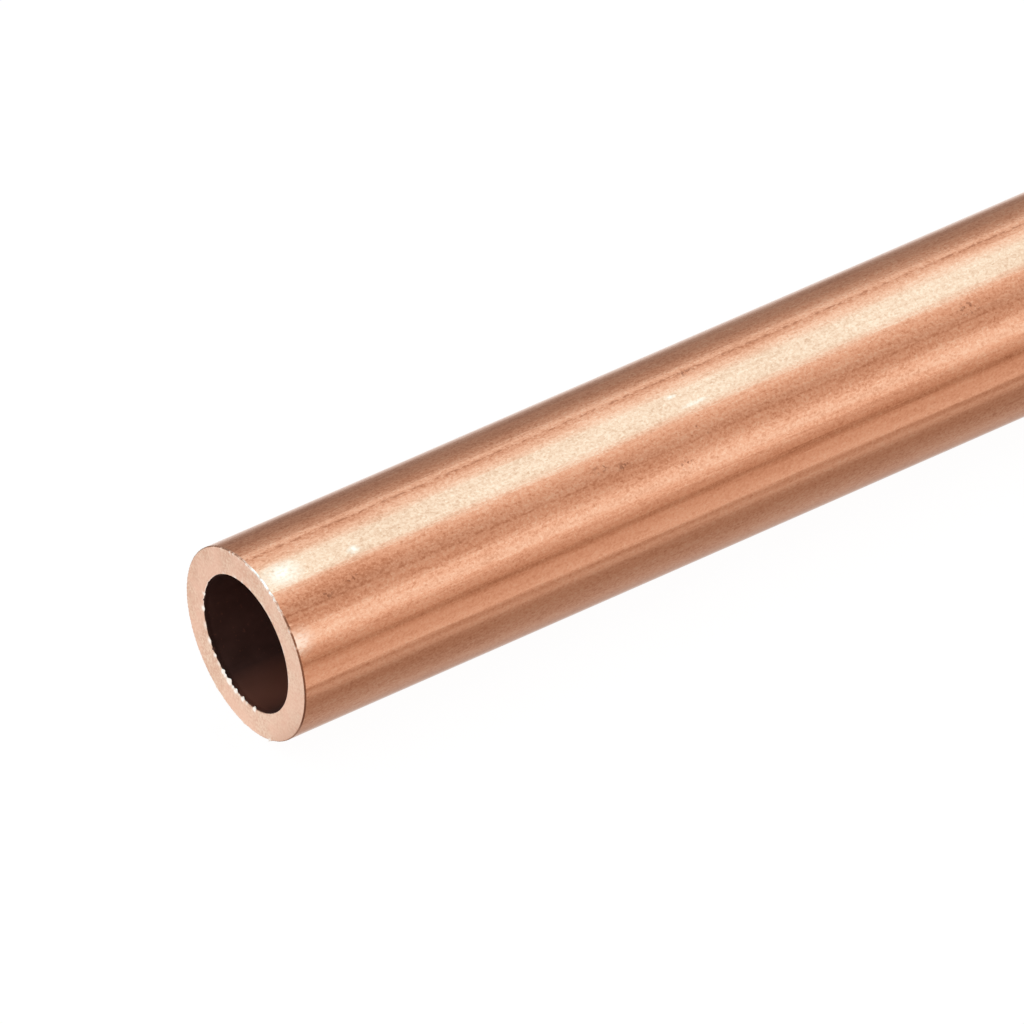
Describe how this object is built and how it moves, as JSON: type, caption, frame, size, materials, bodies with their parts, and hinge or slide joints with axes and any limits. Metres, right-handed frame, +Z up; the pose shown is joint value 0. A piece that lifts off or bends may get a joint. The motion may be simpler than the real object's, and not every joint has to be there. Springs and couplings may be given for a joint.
{
  "type": "copper pipe length",
  "caption": "Straight length of small-bore copper pipe with a thick wall and square sawn ends, for fluid lines, sleeves and model work.",
  "frame": {"origin": "on the pipe's axis, half way along it", "axes": "+X along the pipe, from the end seen in the picture (-X) to the end beyond its edge; +Z up, with the pipe lying level"},
  "size_m": [0.2, 0.007, 0.007],
  "materials": {
    "drawn_copper": "bright hard-drawn copper with fine draw lines, satin; sawn ends paler; bore dull and brown"
  },
  "bodies": {
    "root": {"copper_pipe": "drawn_copper"}
  },
  "joints": []
}
